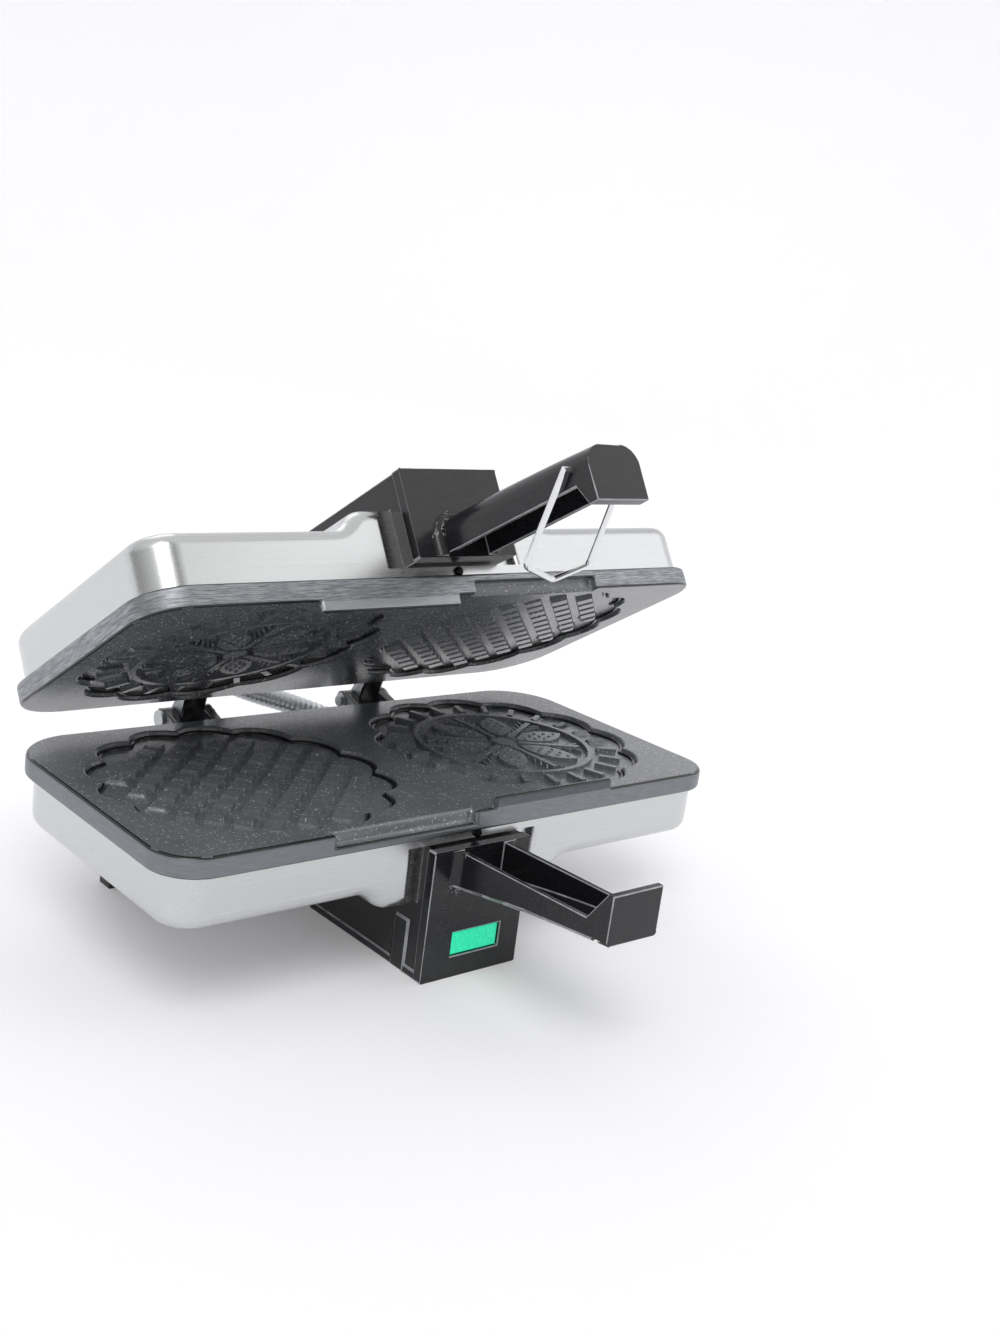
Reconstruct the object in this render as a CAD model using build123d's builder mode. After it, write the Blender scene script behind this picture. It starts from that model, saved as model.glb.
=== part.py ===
from build123d import *
from math import atan2, cos, degrees, hypot, radians, sin
import os

os.makedirs("parts", exist_ok=True)

# Two-biscuit pizzelle maker, drawn with its lid propped open.  Millimetres, +Z up.
# +X is to the right and +Y to the back.  Each half is drawn in its own plane:
# x across, y back from the front edge of the grid plate, z outwards from the
# parting plane where the two plates meet.  The two grid plates are one casting
# used twice, so the lower half is the upper one turned over about its Y axis.

# ---- Stance ------------------------------------------------------------------
parting_height = 70.3        # parting plane above the table
open_angle = 32.6            # lid opening as drawn, from shut
parting_gap = 0.4            # between the faces of the shut plates

# ---- Grid plates -------------------------------------------------------------
plate_width = 280.0
plate_depth = 138.0
plate_thickness = 8.5
front_corner = 18.5          # corner radii of the plate in plan
rear_corner = 27.0
rim_rib_height = 2.0         # ribs on the back that the shell fits round
rim_rib_wall = 3.0
seat_gap = 0.15              # between parts that locate in each other

mould_pitch = 138.0          # between the centres of the two moulds
mould_lobe_radius = 62.0     # centre to the tip of a scallop
mould_valley_radius = 56.8   # centre to the cusp between two scallops
mould_depth = 2.6
grid_lobes = 14
flower_lobes = 12

grid_pitch = 11.0            # diagonal waffle grid
grid_land = 7.6              # side of one raised square at its foot
pattern_rise = 2.0           # raised pattern above the floor of the mould
pattern_draft = 12.0         # degrees
pattern_margin = 2.6         # plain floor left inside the scalloped edge

petal_count = 6
hub_radius = 5.0
petal_inner = 8.5
petal_outer = 36.0
petal_half_width = 6.6
stem_width = 2.4
ring_radius = 40.5           # bead that closes the flower
ring_width = 2.4
ray_width = 2.6
ray_inner = 44.5
rays_per_lobe = 2

lip_length = 66.0            # locating lip on the front edge, in the other's notch
lip_start = 5.0              # from the middle of the plate
lip_width = 3.2
lip_rise = 4.4
lip_gap = 0.6

# ---- Steel shells ------------------------------------------------------------
shell_inset = 3.7
shell_wall = 1.0
shell_height = 30.5          # flat top of the shell above the parting plane
shell_edge_round = 6.0
shell_inner_bevel = 3.5      # inside the rounded rim
thread_gap = 0.05
bulge_height = 38.5          # raised middle that carries the handle
bulge_foot = 56.0            # half-widths where the S-curve starts and ends
bulge_shoulder = 38.0
recess_half = 31.0           # set-back in the front wall, behind the handle
recess_depth = 4.0
recess_level = 13.0
recess_mouth_round = 3.6

# ---- Handle mouldings --------------------------------------------------------
face_half = 25.0             # front plate of each moulding
face_thickness = 4.6
face_near = 14.0             # its edge nearest the parting plane
body_half = 23.5             # narrower body behind the front plate
moulding_wall = 3.0
moulding_round = 0.8
arm_half = 12.9
arm_wall = 2.2
arm_root_round = 4.0
post_radius = 6.0
screw_radius = 2.0
screw_clearance = 0.2
screw_head_radius = 3.8
screw_head_height = 2.6
screw_head_gap = 0.4
screw_stations = (18.0, 62.0)
screw_floor = 6.0            # moulding left under a screw head
screw_bite = 12.0            # thread inside the casting

lower_face_front = -1.9
lower_spine_rear = 78.0
lower_rim_near = 14.9        # open rim of the channel at the root
lower_rim_far = 12.8         # and where it starts to rise to the hook
lower_rim_far_y = -73.6
lower_back_root = 31.7       # closed back of the channel
lower_back_mid = 25.1
lower_back_mid_y = -41.0
lower_back_tip = 19.9
lower_cap_inner = -82.7
lower_cap_outer = -85.5
lower_hook_level = 0.3       # top of the hook, just short of the parting plane
lower_back_round = 1.6
lower_foot_lip = 0.8         # foot flange along the bottom of the spine
lower_foot_lip_height = 3.0
side_pad_front = 11.0
side_pad_rear = 19.0
side_pad_level = 48.0
side_pad_proud = 1.0
catch_y = -79.2              # notch that the bail snaps into
catch_width = 3.2
catch_level = 18.8
wire_hole_x = 12.0           # lamp leads pass through the shell here
wire_hole_y = 40.0
wire_hole_radius = 3.0

upper_face_front = -5.2
upper_face_far = 51.4
upper_spine_rear = 75.0
upper_rim_near = 14.9
upper_rim_far = 11.9
upper_rim_far_y = -83.0
upper_back_root = 30.0
upper_back_mid = 28.2
upper_back_mid_y = -45.0
upper_back_tip = 24.6
upper_cap_inner = -87.3
upper_cap_outer = -91.9
upper_hook_level = 3.5
upper_back_round = 8.0

# ---- Signal lamp -------------------------------------------------------------
window_width = 25.0
window_height = 10.2
window_offset = -1.5         # along the lower half's own x
window_level = 55.8
lens_gap = 0.15
lens_recess = 0.8
lens_bevel = 0.6
lens_flange = 1.6
lens_flange_thickness = 1.4
lamp_radius = 2.8
lamp_length = 16.0
lamp_holder_thickness = 2.0

# ---- Hinges ------------------------------------------------------------------
hinge_reach = 15.1           # from the plate's rear edge to the axis
hinge_z = -3.5               # the axis lies a little below the parting plane
hinge_centre = 49.0          # middle of each hinge, left and right
hinge_span = 24.0
centre_knuckle = 11.8
knuckle_gap = 0.3
knuckle_radius = 4.8
lug_height = 6.4
lug_root = 9.0               # how far a lug runs into the plate
lug_angle = 30.0
pin_radius = 2.5
pin_seat_gap = 0.02
pin_running_gap = 0.06
pin_head_radius = 4.0
pin_head_height = 1.6
pin_clip_radius = 4.0
pin_clip_thickness = 0.8
pin_tail = 2.4

# ---- Wire bail ---------------------------------------------------------------
wire_radius = 1.2
wire_running_gap = 0.07
bail_pivot_y = -82.0
bail_pivot_z = 18.7
bail_lean = 18.0             # degrees back from hanging straight down
bail_half = 16.2
bail_shoulder_half = 15.2    # where the wire turns into the holes
bail_leg = 39.4
bail_drop = 6.4              # point of the V below its corners
bail_tail = 1.6              # wire end inside the channel
bail_corner_round = 3.0

# ---- Heating -----------------------------------------------------------------
element_half = 3.3           # the rod is rolled square to bed on the casting
element_half_x = 108.0
element_front = 28.0
element_rear_inset = 27.0    # from the plate's rear edge
element_bend = 24.0
element_gap_half = 14.0      # between the two cold ends
element_end_rise = 10.0
element_end_bend = 7.0
element_pin_radius = 1.5
element_pin_length = 4.0
clamp_stations = (-60.0, 60.0)
clamp_width = 12.0
clamp_sheet = 1.2
clamp_foot = 9.0
boss_radius = 5.0
boss_sides = 8

thermostat_inset = 50.0      # from the plate's rear edge
thermostat_radius = 8.0
thermostat_height = 11.0
thermostat_flange = 11.0
thermostat_flange_thickness = 1.5
blade_width = 6.0
blade_thickness = 0.8
blade_height = 6.0
blade_spacing = 8.0

fuse_x = -42.0               # thermal fuse in its clip
fuse_radius = 2.0
fuse_length = 13.0
fuse_clip_width = 5.0
fuse_clip_wall = 0.8
fuse_clip_foot = 8.0

# ---- Rear stand --------------------------------------------------------------
stand_half = 93.0
stand_reach = 1.0            # its rear face stands behind the plate's edge
stand_depth = 24.0
stand_wall = 3.0
stand_foot = 9.0
stand_rib_stations = (-84.0, -64.0, 64.0, 84.0)
stand_rib_reach = 16.0
stand_screw_x = 74.0
stand_screw_inset = 7.8      # from the stand's front edge

# ---- Lead between the halves, and the mains inlet ------------------------------
bush_level = 17.0            # height of all three bushes on the shells' rear walls
bush_neck_radius = 4.8
bush_nut_radius = 7.0        # six-sided lock nut inside the shell
bush_nut_length = 2.6
bush_collar_radius = 7.4     # six-sided collar outside
bush_collar_length = 8.5
lead_socket_depth = 7.0
bush_bore = 3.4
lead_radius = 5.0            # armoured conduit over its ribs
lead_valley = 4.4
lead_bore = 3.4
lead_bore_sides = 12
lead_clearance = 0.3
lead_reach = 32.0            # from the plate's rear edge to the plane it crosses in
lead_lower_x = 43.0
lead_upper_x = -35.0
lead_lower_bend = 20.0
lead_upper_bend = 15.0
lead_rib_pitch = 6.0
lead_plain_end = 5.0         # plain cuff inside each bush
inlet_x = 38.0               # along the lower half's own x
inlet_bore = 3.6
inlet_collar_length = 5.5

# ---- Planes of the two halves --------------------------------------------------
hinge_y = plate_depth + hinge_reach
stand_rear = plate_depth + stand_reach
stand_front = stand_rear - stand_depth
stand_screw_y = stand_front + stand_screw_inset
lead_plane_y = plate_depth + lead_reach
element_rear = plate_depth - element_rear_inset
thermostat_y = plate_depth - thermostat_inset
rear_reach = lead_plane_y + lead_radius
plate_front = -(lower_cap_outer + rear_reach) / 2
face_level = parting_gap / 2
back_level = face_level + plate_thickness
mould_y = plate_depth / 2
shell_rear = plate_depth - shell_inset
recess_floor = shell_inset + recess_depth
screw_seat = bulge_height + screw_floor
tilt = radians(open_angle)
hinge_row_y = plate_front + hinge_y
hinge_row_z = parting_height + hinge_z

lower_half = Plane(origin=(0, plate_front, parting_height), x_dir=(-1, 0, 0), z_dir=(0, 0, -1))
upper_half = Plane(
    origin=(
        0,
        hinge_row_y - hinge_y * cos(tilt) - hinge_z * sin(tilt),
        hinge_row_z + hinge_y * sin(tilt) - hinge_z * cos(tilt),
    ),
    x_dir=(1, 0, 0),
    z_dir=(0, sin(tilt), cos(tilt)),
)


def level_at(half, x, y, z):
    """Plane parallel to the half's parting plane, with its origin at a point of the half."""
    return Plane(origin=half.from_local_coords(Vector(x, y, z)), x_dir=half.x_dir, z_dir=half.z_dir)


def front_view(half, y):
    """Plane across the half at depth y: sketch x across, sketch y outwards, normal to the front."""
    origin = half.from_local_coords(Vector(0, y, 0))
    return Plane(origin=origin, x_dir=half.x_dir, z_dir=-half.y_dir)


def side_view(half, x):
    """Plane along the half at x: sketch x towards the back, sketch y outwards."""
    origin = half.from_local_coords(Vector(x, 0, 0))
    return Plane(origin=origin, x_dir=half.y_dir, z_dir=half.x_dir)


def polar(radius, angle):
    """Point at a radius and an angle in degrees."""
    return (radius * cos(radians(angle)), radius * sin(radians(angle)))


def save(piece, name):
    """Label a finished piece and write it."""
    piece.part.label = name
    export_step(piece.part, f"parts/{name}.step")


# ---- Grid plates -------------------------------------------------------------
def plate_outline(half, level, inset):
    """Plan of the plate, drawn in by inset, at a level of the half."""
    with BuildSketch(half.offset(level)) as outline:
        with Locations((0, plate_depth / 2)):
            Rectangle(plate_width - 2 * inset, plate_depth - 2 * inset)
        fillet(outline.vertices().group_by(Axis.Y)[0], radius=front_corner - inset)
        fillet(outline.vertices().group_by(Axis.Y)[-1], radius=rear_corner - inset)
    return outline.sketch


def scalloped_outline(plane, lobes):
    """Ring of equal scallops with a cusp facing the front."""
    step = 360 / lobes
    with BuildSketch(plane) as outline:
        with BuildLine():
            for lobe in range(lobes):
                start = -90 + lobe * step
                ThreePointArc(
                    polar(mould_valley_radius, start),
                    polar(mould_lobe_radius, start + step / 2),
                    polar(mould_valley_radius, start + step),
                )
        make_face()
    return outline.sketch


def grid_pattern(plane):
    """Raised squares of the diagonal waffle grid, kept inside the scalloped edge."""
    reach = mould_valley_radius - pattern_margin
    count = int(reach / grid_pitch) + 1
    squares = []
    for row in range(-count, count + 1):
        for column in range(-count, count + 1):
            x = (row - column) * grid_pitch / 2**0.5
            y = (row + column) * grid_pitch / 2**0.5
            if hypot(x, y) + grid_land / 2 < reach:
                squares.append(Location((x, y, 0), 45))
    with BuildSketch(plane) as pattern:
        with Locations(*squares):
            Rectangle(grid_land, grid_land)
    return pattern.sketch


def flower_pattern(plane):
    """Snowflake flower: petals, stems between them, a closing ring and outer rays."""
    reach = mould_valley_radius - pattern_margin
    petal_mid = (petal_inner + petal_outer) / 2
    petal_side = hypot(petal_mid, petal_half_width)
    petal_sweep = degrees(atan2(petal_half_width, petal_mid))
    stem_inner = hub_radius + stem_width
    rays = flower_lobes * rays_per_lobe
    with BuildSketch(plane) as pattern:
        Circle(ring_radius + ring_width / 2)
        Circle(ring_radius - ring_width / 2, mode=Mode.SUBTRACT)
        Circle(hub_radius)
        for petal in range(petal_count):
            turn = petal * 360 / petal_count
            between = turn + 180 / petal_count
            with BuildLine():
                ThreePointArc(
                    polar(petal_inner, turn),
                    polar(petal_side, turn + petal_sweep),
                    polar(petal_outer, turn),
                )
                ThreePointArc(
                    polar(petal_outer, turn),
                    polar(petal_side, turn - petal_sweep),
                    polar(petal_inner, turn),
                )
            make_face()
            with Locations(Location((*polar((stem_inner + petal_outer) / 2, between), 0), between)):
                Rectangle(petal_outer - stem_inner, stem_width)
        for ray in range(rays):
            angle = ray * 360 / rays
            with Locations(Location((*polar((ray_inner + reach) / 2, angle), 0), angle)):
                Rectangle(reach - ray_inner, ray_width)
    return pattern.sketch


with BuildPart() as casting:
    # Slab, in the half's own coordinates.
    half = Plane.XY
    extrude(plate_outline(half, face_level, 0), amount=plate_thickness)

    # Straight ribs on the back, just inside the walls of the steel shell.
    rib_middle = shell_inset + shell_wall + seat_gap + rim_rib_wall / 2
    across = plate_width - 2 * (rib_middle + rear_corner)
    along = plate_depth - 2 * (rib_middle + rear_corner)
    with BuildSketch(half.offset(back_level)):
        with Locations((0, rib_middle), (0, plate_depth - rib_middle)):
            Rectangle(across, rim_rib_wall)
        with Locations((rib_middle - plate_width / 2, mould_y), (plate_width / 2 - rib_middle, mould_y)):
            Rectangle(rim_rib_wall, along)
    extrude(amount=rim_rib_height)

    # Columns for the handle screws, up to the inside of the shell's raised middle.
    with BuildSketch(half.offset(back_level)):
        with Locations(*[(0, y) for y in screw_stations]):
            RegularPolygon(radius=boss_radius, side_count=boss_sides)
    extrude(amount=bulge_height - shell_wall - back_level)
    with BuildSketch(half.offset(bulge_height - shell_wall)):
        with Locations(*[(0, y) for y in screw_stations]):
            Circle(screw_radius + thread_gap)
    extrude(amount=-screw_bite - screw_floor, mode=Mode.SUBTRACT)

    # The two moulds: a scalloped pocket and the raised pattern on its floor.
    for side, lobes in ((-1, flower_lobes), (1, grid_lobes)):
        mouth = level_at(half, side * mould_pitch / 2, mould_y, face_level)
        extrude(scalloped_outline(mouth, lobes), amount=mould_depth, mode=Mode.SUBTRACT)
        floor = Plane(origin=mouth.offset(mould_depth).origin, x_dir=(-1, 0, 0), z_dir=(0, 0, -1))
        if side < 0:
            extrude(flower_pattern(floor), amount=pattern_rise)
        else:
            extrude(grid_pattern(floor), amount=pattern_rise, taper=pattern_draft)

    # Locating lip on one side of the middle, notch for the other plate's lip on the other.
    with BuildSketch(half.offset(face_level)):
        with Locations((-lip_start - lip_length / 2, lip_width / 2)):
            Rectangle(lip_length, lip_width)
    extrude(amount=-lip_rise)
    with BuildSketch(half.offset(face_level)):
        with Locations((lip_start + lip_length / 2, lip_width / 2)):
            Rectangle(lip_length + 2 * lip_gap, lip_width + 2 * lip_gap)
    extrude(amount=lip_rise + lip_gap, mode=Mode.SUBTRACT)


def lug_profile(half, x, axis_level, bore):
    """Side profile of a hinge lug: an arm off the plate's rear edge to a knuckle with its bore."""
    arm_far = back_level
    arm_near = arm_far - lug_height
    half_chord = knuckle_radius * cos(radians(lug_angle))
    reach = knuckle_radius * sin(radians(lug_angle))
    with BuildSketch(side_view(half, x)) as profile:
        Polygon(
            (plate_depth - lug_root, arm_far),
            (plate_depth, arm_far),
            (hinge_y + reach, axis_level + half_chord),
            (hinge_y - reach, axis_level - half_chord),
            (plate_depth, arm_near),
            (plate_depth - lug_root, arm_near),
            align=None,
        )
        with Locations((hinge_y, axis_level)):
            Circle(knuckle_radius)
            Circle(bore, mode=Mode.SUBTRACT)
    return profile.sketch


# Lower plate: two lugs at each hinge, and bosses for the screws of the rear stand.
outer_knuckle = (hinge_span - centre_knuckle) / 2 - knuckle_gap
with BuildPart() as lower_grid_plate:
    add(casting.part.moved(lower_half.location))
    for hinge in (-hinge_centre, hinge_centre):
        for start in (hinge - hinge_span / 2, hinge + hinge_span / 2 - outer_knuckle):
            extrude(
                lug_profile(lower_half, start, -hinge_z, pin_radius + pin_seat_gap),
                amount=outer_knuckle,
            )
    for x in (-stand_screw_x, stand_screw_x):
        with BuildSketch(level_at(lower_half, x, stand_screw_y, back_level)):
            RegularPolygon(radius=boss_radius, side_count=boss_sides)
            Circle(screw_radius + thread_gap, mode=Mode.SUBTRACT)
        extrude(amount=shell_height - shell_wall - back_level)
save(lower_grid_plate, "lower_grid_plate")

# Upper plate: one lug at each hinge, between the lower plate's two.
with BuildPart() as upper_grid_plate:
    add(casting.part.moved(upper_half.location))
    for hinge in (-hinge_centre, hinge_centre):
        extrude(
            lug_profile(upper_half, hinge - centre_knuckle / 2, hinge_z, pin_radius + pin_running_gap),
            amount=centre_knuckle,
        )
save(upper_grid_plate, "upper_grid_plate")


# ---- Steel shells ------------------------------------------------------------
def pan_form(half, skin):
    """Deep-drawn form of a shell, smaller all over by skin: rounded plan, S-curved raised middle."""
    inset = shell_inset + skin
    top = shell_height - skin
    raised = bulge_height - skin
    foot = bulge_foot - skin
    shoulder = bulge_shoulder - skin
    run = (foot + shoulder) / 2
    rise = (top + raised) / 2
    edge = plate_width / 2 - inset
    with BuildPart() as form:
        with BuildSketch(front_view(half, inset)):
            with BuildLine():
                Line((-shoulder, raised), (shoulder, raised))
                for side in (-1, 1):
                    upper_arc = TangentArc((side * shoulder, raised), (side * run, rise), tangent=(side, 0))
                    TangentArc((side * run, rise), (side * foot, top), tangent=upper_arc % 1)
                    Polyline((side * foot, top), (side * edge, top), (side * edge, back_level))
                Line((-edge, back_level), (edge, back_level))
            make_face()
        extrude(amount=-(plate_depth - 2 * inset))
        extrude(
            plate_outline(half, back_level, inset),
            amount=raised - back_level,
            mode=Mode.INTERSECT,
        )
        # Round the whole top edge, leaving out the straight creases where the S-curves start and end.
        rim = []
        for edge_line in form.edges():
            middle = half.to_local_coords(edge_line @ 0.5)
            crease = abs(middle.X) < foot + skin and inset + 1 < middle.Y < plate_depth - inset - 1
            if middle.Z > rise - bulge_height + shell_height - 1 and not crease:
                rim.append(edge_line)
        if skin:
            chamfer(rim, length=shell_inner_bevel)
        else:
            fillet(rim, radius=shell_edge_round)
        # Set-back of the front wall with rolled mouth corners.
        mouth = recess_mouth_round - skin
        flank = recess_half + skin
        outside = -skin - 1
        with BuildSketch(level_at(half, 0, inset, recess_level - skin)):
            with BuildLine():
                Polyline(
                    (flank, mouth),
                    (flank, recess_depth),
                    (-flank, recess_depth),
                    (-flank, mouth),
                )
                RadiusArc((-flank, mouth), (-flank - mouth, 0), mouth)
                Polyline(
                    (-flank - mouth, 0),
                    (-flank - mouth, outside),
                    (flank + mouth, outside),
                    (flank + mouth, 0),
                )
                RadiusArc((flank + mouth, 0), (flank, mouth), mouth)
            make_face()
        extrude(amount=raised, mode=Mode.SUBTRACT)
    return form.part


def steel_shell(half, name, top_holes, rear_holes):
    """Open pan with round holes in its raised top and in its rear wall."""
    with BuildPart() as shell:
        add(pan_form(half, 0))
        add(pan_form(half, shell_wall), mode=Mode.SUBTRACT)
        for x, y, radius in top_holes:
            with BuildSketch(level_at(half, x, y, shell_height - 2 * shell_wall)):
                Circle(radius)
            extrude(amount=bulge_height, mode=Mode.SUBTRACT)
        for x, radius in rear_holes:
            with BuildSketch(front_view(half, shell_rear + shell_wall)):
                with Locations((x, bush_level)):
                    Circle(radius)
            extrude(amount=4 * shell_wall, mode=Mode.SUBTRACT)
    save(shell, name)
    return shell


screw_hole = screw_radius + screw_clearance
bush_hole = bush_neck_radius + seat_gap
handle_holes = [(0, y, screw_hole) for y in screw_stations]
lower_shell = steel_shell(
    lower_half,
    "lower_shell",
    handle_holes
    + [(x, stand_screw_y, screw_hole) for x in (-stand_screw_x, stand_screw_x)]
    + [(wire_hole_x, wire_hole_y, wire_hole_radius)],
    [(-lead_lower_x, bush_hole), (inlet_x, bush_hole)],
)
upper_shell = steel_shell(upper_half, "upper_shell", handle_holes, [(lead_upper_x, bush_hole)])


# ---- Handle mouldings --------------------------------------------------------
def channel_arm(half, front, rim_near, rim_far_y, rim_far, hook, cap_inner, cap_outer, back, edge_round):
    """Handle arm: a channel open towards the parting plane, ending in a hooked cap.

    back holds the levels of its closed side at the root, at back_mid_y and at the tip.
    Where the outside is well rounded, a bevel inside keeps the wall at the corner."""
    root, mid_y, mid, tip = back
    embed = front + face_thickness / 2
    with BuildPart() as hollow:
        with BuildSketch(side_view(half, 0)):
            with BuildLine():
                Polyline(
                    (front, root - arm_wall),
                    (front, -rim_near),
                    (cap_inner, -rim_near),
                    (cap_inner, tip - arm_wall),
                )
                ThreePointArc((cap_inner, tip - arm_wall), (mid_y, mid - arm_wall), (front, root - arm_wall))
            make_face()
        extrude(amount=arm_half - arm_wall, both=True)
        if edge_round > arm_wall:
            bevel = (edge_round - arm_wall) * (2 - 2**0.5)
            chamfer(hollow.edges().filter_by(GeomType.CIRCLE), length=bevel)
    with BuildPart() as arm:
        with BuildSketch(side_view(half, 0)):
            with BuildLine():
                Polyline(
                    (embed, root),
                    (embed, rim_near),
                    (rim_far_y, rim_far),
                    (cap_inner, hook),
                    (cap_outer, hook),
                    (cap_outer, tip),
                )
                ThreePointArc((cap_outer, tip), (mid_y, mid), (embed, root))
            make_face()
        extrude(amount=arm_half, both=True)
        fillet(arm.edges().filter_by(GeomType.CIRCLE), radius=edge_round)
        add(hollow.part, mode=Mode.SUBTRACT)
    return arm.part


def handle_body(half, front, far, spine_rear):
    """Front plate, narrower hollow spine behind it and two posts for the handle screws."""
    back = front + face_thickness
    with BuildPart() as body:
        with BuildSketch(front_view(half, front)):
            with Locations((0, (face_near + far) / 2)):
                RectangleRounded(2 * face_half, far - face_near, moulding_round)
        extrude(amount=-face_thickness)
        with BuildSketch(side_view(half, 0)):
            Polygon(
                (back, face_near),
                (recess_floor, face_near),
                (recess_floor, bulge_height),
                (spine_rear, bulge_height),
                (spine_rear, far),
                (back, far),
                align=None,
            )
        extrude(amount=body_half, both=True)
        with BuildSketch(level_at(half, 0, (back + spine_rear - moulding_wall) / 2, bulge_height)):
            Rectangle(2 * (body_half - moulding_wall), spine_rear - moulding_wall - back)
        extrude(amount=far - bulge_height - moulding_wall, mode=Mode.SUBTRACT)
        with BuildSketch(half.offset(bulge_height)):
            with Locations(*[(0, y) for y in screw_stations]):
                Circle(post_radius)
        extrude(amount=far - bulge_height)
        with BuildSketch(half.offset(bulge_height)):
            with Locations(*[(0, y) for y in screw_stations]):
                Circle(screw_hole)
        extrude(amount=far - bulge_height, mode=Mode.SUBTRACT)
        with BuildSketch(half.offset(screw_seat)):
            with Locations(*[(0, y) for y in screw_stations]):
                Circle(screw_head_radius + screw_head_gap)
        extrude(amount=far - screw_seat, mode=Mode.SUBTRACT)
    return body.part


def round_arm_root(moulding, half, front):
    """Fillet the two upright seams where the sides of an arm meet the front plate."""
    seams = []
    for seam in moulding.edges().filter_by(GeomType.LINE):
        middle = half.to_local_coords(seam @ 0.5)
        upright = abs((seam % 0.5).dot(half.z_dir)) > 0.99
        if upright and abs(middle.Y - front) < 0.01 and abs(abs(middle.X) - arm_half) < 0.01:
            seams.append(seam)
    fillet(seams, radius=arm_root_round)


with BuildPart() as lower_handle:
    add(handle_body(lower_half, lower_face_front, parting_height, lower_spine_rear))
    add(
        channel_arm(
            lower_half,
            lower_face_front,
            lower_rim_near,
            lower_rim_far_y,
            lower_rim_far,
            lower_hook_level,
            lower_cap_inner,
            lower_cap_outer,
            (lower_back_root, lower_back_mid_y, lower_back_mid, lower_back_tip),
            lower_back_round,
        )
    )
    # Notch under the tip of the arm for the bail.
    with BuildSketch(side_view(lower_half, 0)):
        with Locations((catch_y, catch_level + arm_half / 2)):
            Rectangle(catch_width, arm_half)
    extrude(amount=2 * arm_half, both=True, mode=Mode.SUBTRACT)
    # Pad on each side of the foot, and the flange it stands on.
    with BuildSketch(side_view(lower_half, 0)):
        with Locations(((side_pad_front + side_pad_rear) / 2, (side_pad_level + parting_height) / 2)):
            Rectangle(side_pad_rear - side_pad_front, parting_height - side_pad_level)
    extrude(amount=body_half + side_pad_proud, both=True)
    lower_face_back = lower_face_front + face_thickness
    with BuildSketch(level_at(lower_half, 0, (lower_face_back + lower_spine_rear) / 2, parting_height)):
        Rectangle(2 * (body_half + lower_foot_lip), lower_spine_rear - lower_face_back)
    extrude(amount=-lower_foot_lip_height)
    # The pads and the flange stay outside the hollow and clear of the screws.
    hollow_rear = lower_spine_rear - moulding_wall
    hollow_middle = (lower_face_back + hollow_rear) / 2
    with BuildSketch(level_at(lower_half, 0, hollow_middle, bulge_height)):
        Rectangle(2 * (body_half - moulding_wall), hollow_rear - lower_face_back)
        with Locations(*[(0, y - hollow_middle) for y in screw_stations]):
            Circle(post_radius, mode=Mode.SUBTRACT)
    extrude(amount=parting_height - bulge_height - moulding_wall, mode=Mode.SUBTRACT)
    with BuildSketch(lower_half.offset(screw_seat)):
        with Locations(*[(0, y) for y in screw_stations]):
            Circle(screw_head_radius + screw_head_gap)
    extrude(amount=parting_height, mode=Mode.SUBTRACT)
    # Window for the signal lens.
    with BuildSketch(front_view(lower_half, lower_face_back)):
        with Locations((window_offset, window_level)):
            Rectangle(window_width + 2 * lens_gap, window_height + 2 * lens_gap)
    extrude(amount=2 * face_thickness, mode=Mode.SUBTRACT)
    round_arm_root(lower_handle, lower_half, lower_face_front)
save(lower_handle, "lower_handle")

with BuildPart() as upper_handle:
    add(handle_body(upper_half, upper_face_front, upper_face_far, upper_spine_rear))
    add(
        channel_arm(
            upper_half,
            upper_face_front,
            upper_rim_near,
            upper_rim_far_y,
            upper_rim_far,
            upper_hook_level,
            upper_cap_inner,
            upper_cap_outer,
            (upper_back_root, upper_back_mid_y, upper_back_mid, upper_back_tip),
            upper_back_round,
        )
    )
    # Holes for the ends of the bail, through both walls of the channel.
    with BuildSketch(side_view(upper_half, 0)):
        with Locations((bail_pivot_y, bail_pivot_z)):
            Circle(wire_radius + wire_running_gap)
    extrude(amount=2 * arm_half, both=True, mode=Mode.SUBTRACT)
    round_arm_root(upper_handle, upper_half, upper_face_front)
save(upper_handle, "upper_handle")


# ---- Screws ------------------------------------------------------------------
def cheese_head_screw(seat, length):
    """Screw on a seat plane: head on the outer side, shank running inwards."""
    with BuildPart() as screw:
        with BuildSketch(seat):
            Circle(screw_head_radius)
        extrude(amount=screw_head_height)
        with BuildSketch(seat):
            Circle(screw_radius)
        extrude(amount=-length)
    return screw.part


screw_length = screw_seat - (bulge_height - shell_wall) + screw_bite
for half, name in ((lower_half, "lower_handle_screws"), (upper_half, "upper_handle_screws")):
    with BuildPart() as handle_screws:
        for y in screw_stations:
            add(cheese_head_screw(level_at(half, 0, y, screw_seat), screw_length))
    save(handle_screws, name)


# ---- Signal lamp -------------------------------------------------------------
lens_centre = (window_offset, window_level)
with BuildPart() as signal_lens:
    with BuildSketch(front_view(lower_half, lower_face_front + lens_recess)):
        with Locations(lens_centre):
            Rectangle(window_width, window_height)
    extrude(amount=lens_recess - face_thickness)
    chamfer(signal_lens.faces().sort_by(Axis.Y)[0].edges(), length=lens_bevel)
    with BuildSketch(front_view(lower_half, lower_face_back)):
        with Locations(lens_centre):
            Rectangle(window_width + 2 * lens_flange, window_height + 2 * lens_flange)
    extrude(amount=-lens_flange_thickness)
save(signal_lens, "signal_lens")

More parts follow.
